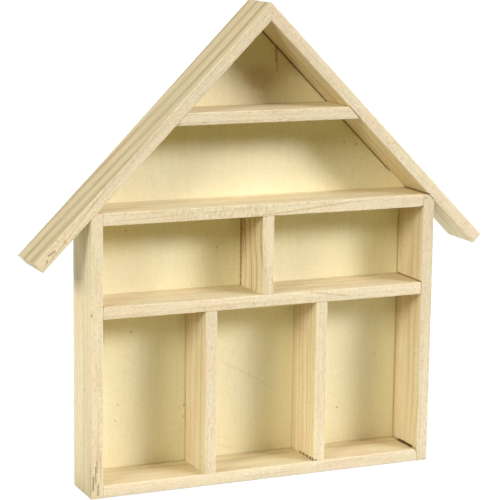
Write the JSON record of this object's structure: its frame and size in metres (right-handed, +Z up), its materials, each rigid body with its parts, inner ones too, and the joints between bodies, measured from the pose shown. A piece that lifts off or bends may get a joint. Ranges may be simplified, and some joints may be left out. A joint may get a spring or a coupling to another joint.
{
  "type": "house-shaped wall shelf",
  "caption": "Open-front wall shelf in the shape of a house: shallow wooden bays on three levels under a gable roof with overhanging eaves, closed by a thin plywood back.",
  "frame": {"origin": "centre of the overall width and depth, on the plane that the body stands on", "axes": "+X to the right seen from the front, +Y from the open front to the wall, +Z up"},
  "size_m": [0.3126, 0.037, 0.3093],
  "materials": {
    "board": "unpainted pale softwood, sanded, matt",
    "plywood": "unpainted thin plywood, smooth, matt",
    "pin": "bright drawn wire"
  },
  "bodies": {
    "root": {"side_panel_left": "board", "side_panel_right": "board", "bottom_board": "board", "middle_shelf": "board", "top_shelf": "board", "upper_divider": "board", "lower_divider_left": "board", "lower_divider_right": "board", "roof_board_left": "board", "roof_board_right": "board", "attic_shelf": "board", "back_panel": "plywood", "side_panel_pins": "pin", "divider_pins": "pin", "roof_pins": "pin", "ridge_pins": "pin", "back_panel_pins": "pin"}
  },
  "joints": []
}
